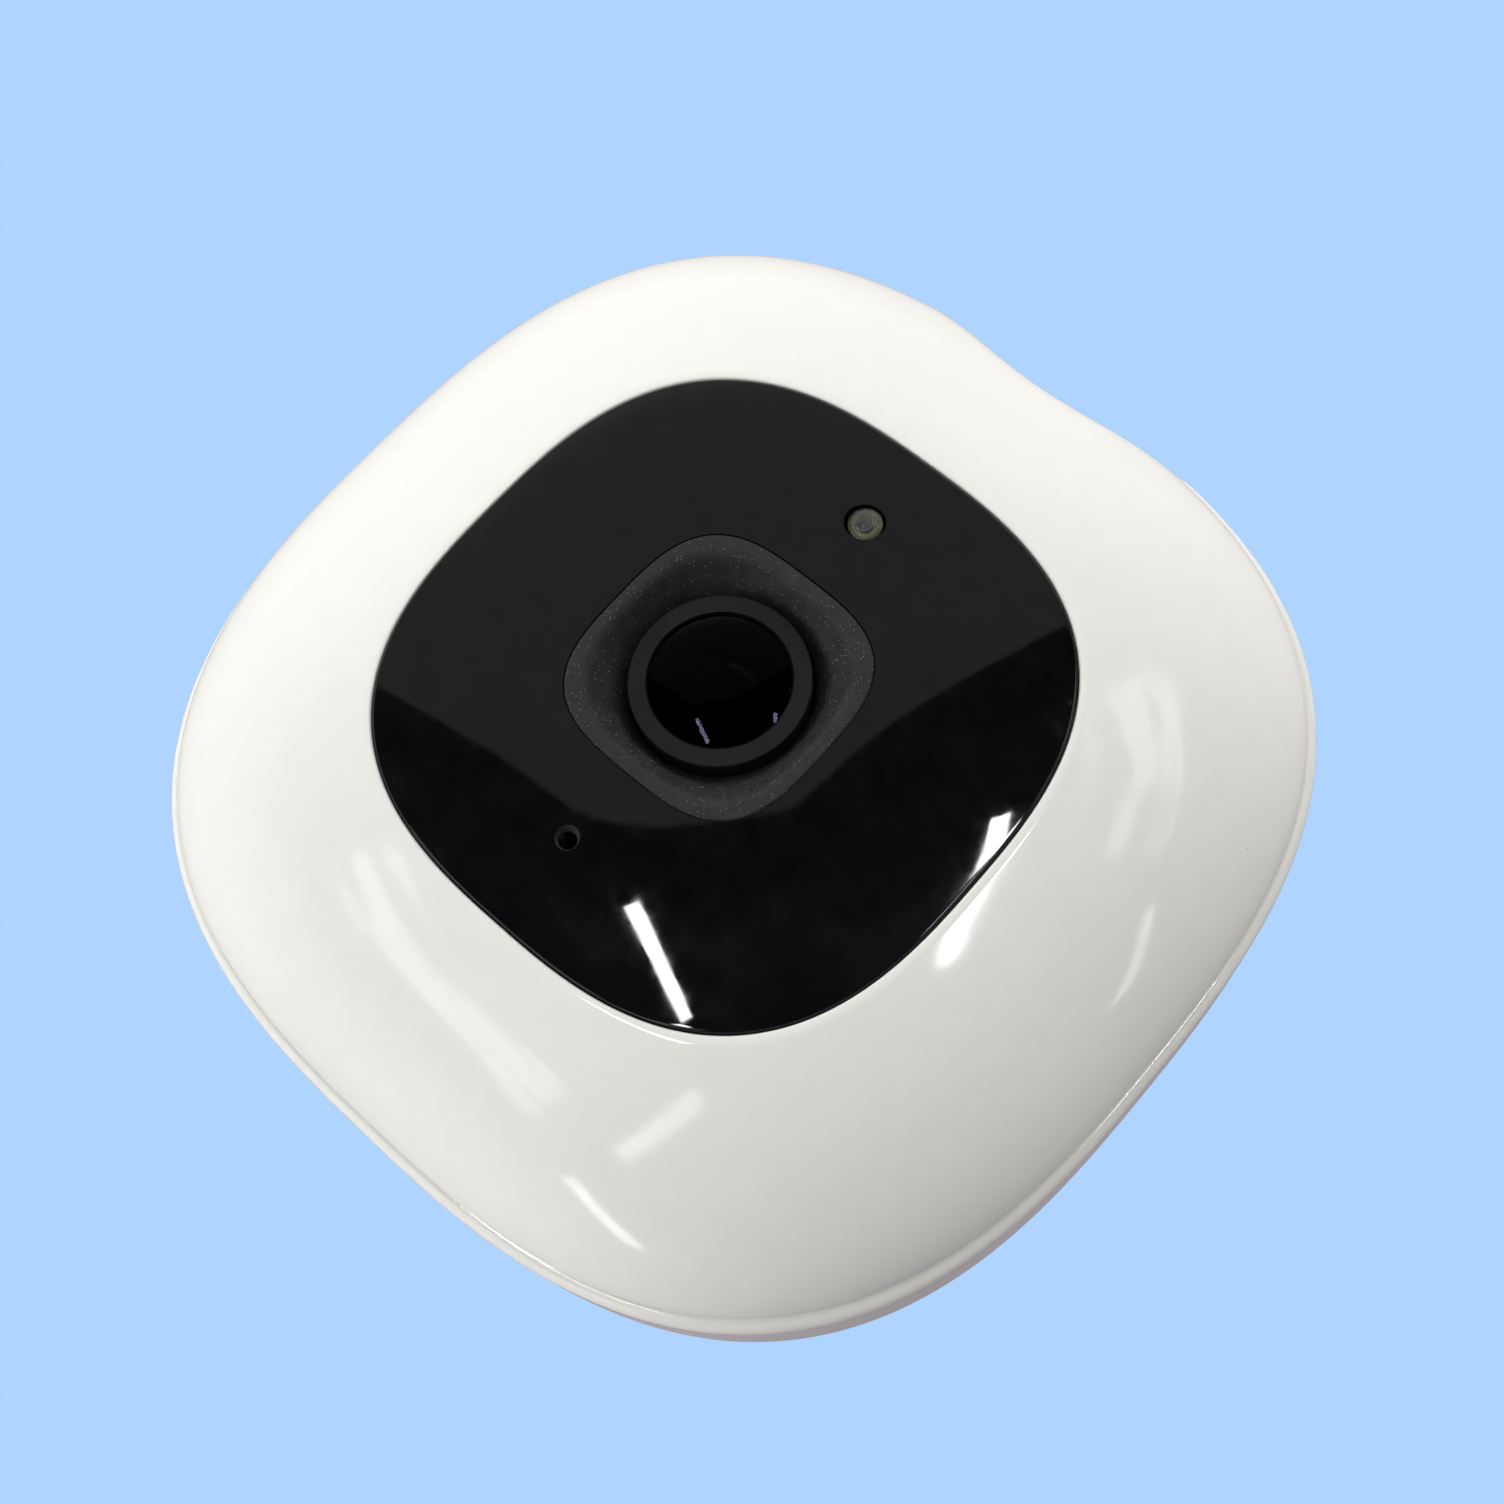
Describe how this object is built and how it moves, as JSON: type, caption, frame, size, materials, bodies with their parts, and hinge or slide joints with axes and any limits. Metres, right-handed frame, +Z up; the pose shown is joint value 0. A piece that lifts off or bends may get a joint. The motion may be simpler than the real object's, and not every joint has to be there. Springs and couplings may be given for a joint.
{
  "type": "security camera",
  "caption": "Rounded-square indoor security camera with a black face, central wide lens, tilting arm and weighted swivel base.",
  "frame": {"origin": "centre of the base's underside, on the swivel axis, on the surface it stands on", "axes": "+Z up, along the swivel axis and the lens axis at rest; -Y is the side of the head with the arm channel and the dent, which is the camera's lower side when it stands upright"},
  "size_m": [0.0846, 0.0838, 0.0685],
  "materials": {
    "white_gloss": "glossy warm white moulded ABS",
    "black_gloss": "polished black, infrared-clear polycarbonate",
    "grey_plastic": "fine matt texture",
    "black_plastic": "matt black moulding",
    "black_rubber": "matt speckled silicone rubber",
    "grey_rubber": "matt rubber",
    "barrel_black": "black anodised, turned",
    "weight_steel": "zinc-plated steel disc",
    "screw_steel": "plated steel",
    "bracket_steel": "stamped steel",
    "spring_brass": "phosphor bronze sheet",
    "tape": "double-sided foam tape",
    "lens_glass": "coated optical glass",
    "filter_glass": "infrared-blocking glass",
    "copper": "enamelled copper winding",
    "chip_black": "moulded chip package",
    "board_green": "solder-masked glass-fibre board",
    "heat_sink": "extruded aluminium",
    "tinplate": "stamped tinplate",
    "card_black": "blank black card",
    "flex": "polyimide flat cable",
    "speaker_black": "speaker can and cone",
    "led_clear": "clear moulded epoxy",
    "button_grey": "satin grey cap",
    "label": "blank silver film, no text"
  },
  "bodies": {
    "base": {"base_cover": "white_gloss", "base_plate": "grey_plastic", "base_weight": "weight_steel", "rubber_foot": "grey_rubber", "base_screws": "screw_steel"},
    "arm": {"arm": "white_gloss", "swivel_washer": "spring_brass", "swivel_screw": "screw_steel"},
    "head": {"hinge_pin": "screw_steel", "hinge_washers": "spring_brass", "hinge_bracket": "bracket_steel", "rear_shell": "white_gloss", "front_shell": "white_gloss", "face_plate": "black_gloss", "plate_adhesive": "tape", "lens_collar": "black_rubber", "lens_barrel": "barrel_black", "lens_retaining_ring": "barrel_black", "front_lens": "lens_glass", "lens_spacer": "black_plastic", "second_lens": "lens_glass", "aperture_disc": "black_plastic", "rear_lens": "lens_glass", "lens_holder": "black_plastic", "filter_housing": "black_plastic", "filter_coil": "copper", "image_sensor": "chip_black", "sensor_glass": "lens_glass", "sensor_board": "board_green", "inner_frame": "black_plastic", "main_board": "board_green", "processor": "chip_black", "heat_sink": "heat_sink", "shield_can": "tinplate", "wifi_antenna": "spring_brass", "usb_socket": "tinplate", "card_socket": "tinplate", "ribbon_cable": "flex", "speaker": "speaker_black", "speaker_gasket": "grey_rubber", "microphone": "tinplate", "mic_boot": "black_rubber", "status_led": "led_clear", "ir_led_board": "board_green", "ir_leds": "led_clear", "pair_switch": "black_plastic", "reset_switch": "tinplate", "case_screws": "screw_steel", "inner_screws": "screw_steel", "screw_plugs": "grey_rubber", "rating_label": "label"},
    "pair_button": {"pair_button": "button_grey"},
    "reset_plunger": {"reset_plunger": "black_plastic"},
    "memory_card": {"memory_card": "card_black"},
    "ir_filter": {"filter_slide": "black_plastic", "day_filter": "filter_glass", "night_filter": "lens_glass", "filter_magnet": "screw_steel"}
  },
  "joints": [
    {"name": "pan", "type": "hinge", "parent": "base", "child": "arm", "pos_m": [0, 0, 0.008], "axis": [0, 0, 1], "range_deg": [-170, 170]},
    {"name": "tilt", "type": "hinge", "parent": "arm", "child": "head", "pos_m": [0, -0.017, 0.04], "axis": [1, 0, 0], "range_deg": [0, 110]},
    {"name": "pair_press", "type": "slide", "parent": "head", "child": "pair_button", "axis": [0, 0, 1], "range_m": [0, 0.0005], "stiffness_N_per_m": 1500, "springref_m": -0.0006},
    {"name": "reset_press", "type": "slide", "parent": "head", "child": "reset_plunger", "axis": [0, 0, 1], "range_m": [0, 0.0003], "stiffness_N_per_m": 1500, "springref_m": -0.0006},
    {"name": "card_pull", "type": "slide", "parent": "head", "child": "memory_card", "axis": [1, 0, 0], "range_m": [0, 0.014]},
    {"name": "filter_shift", "type": "slide", "parent": "head", "child": "ir_filter", "axis": [1, 0, 0], "range_m": [0, 0.007]}
  ]
}
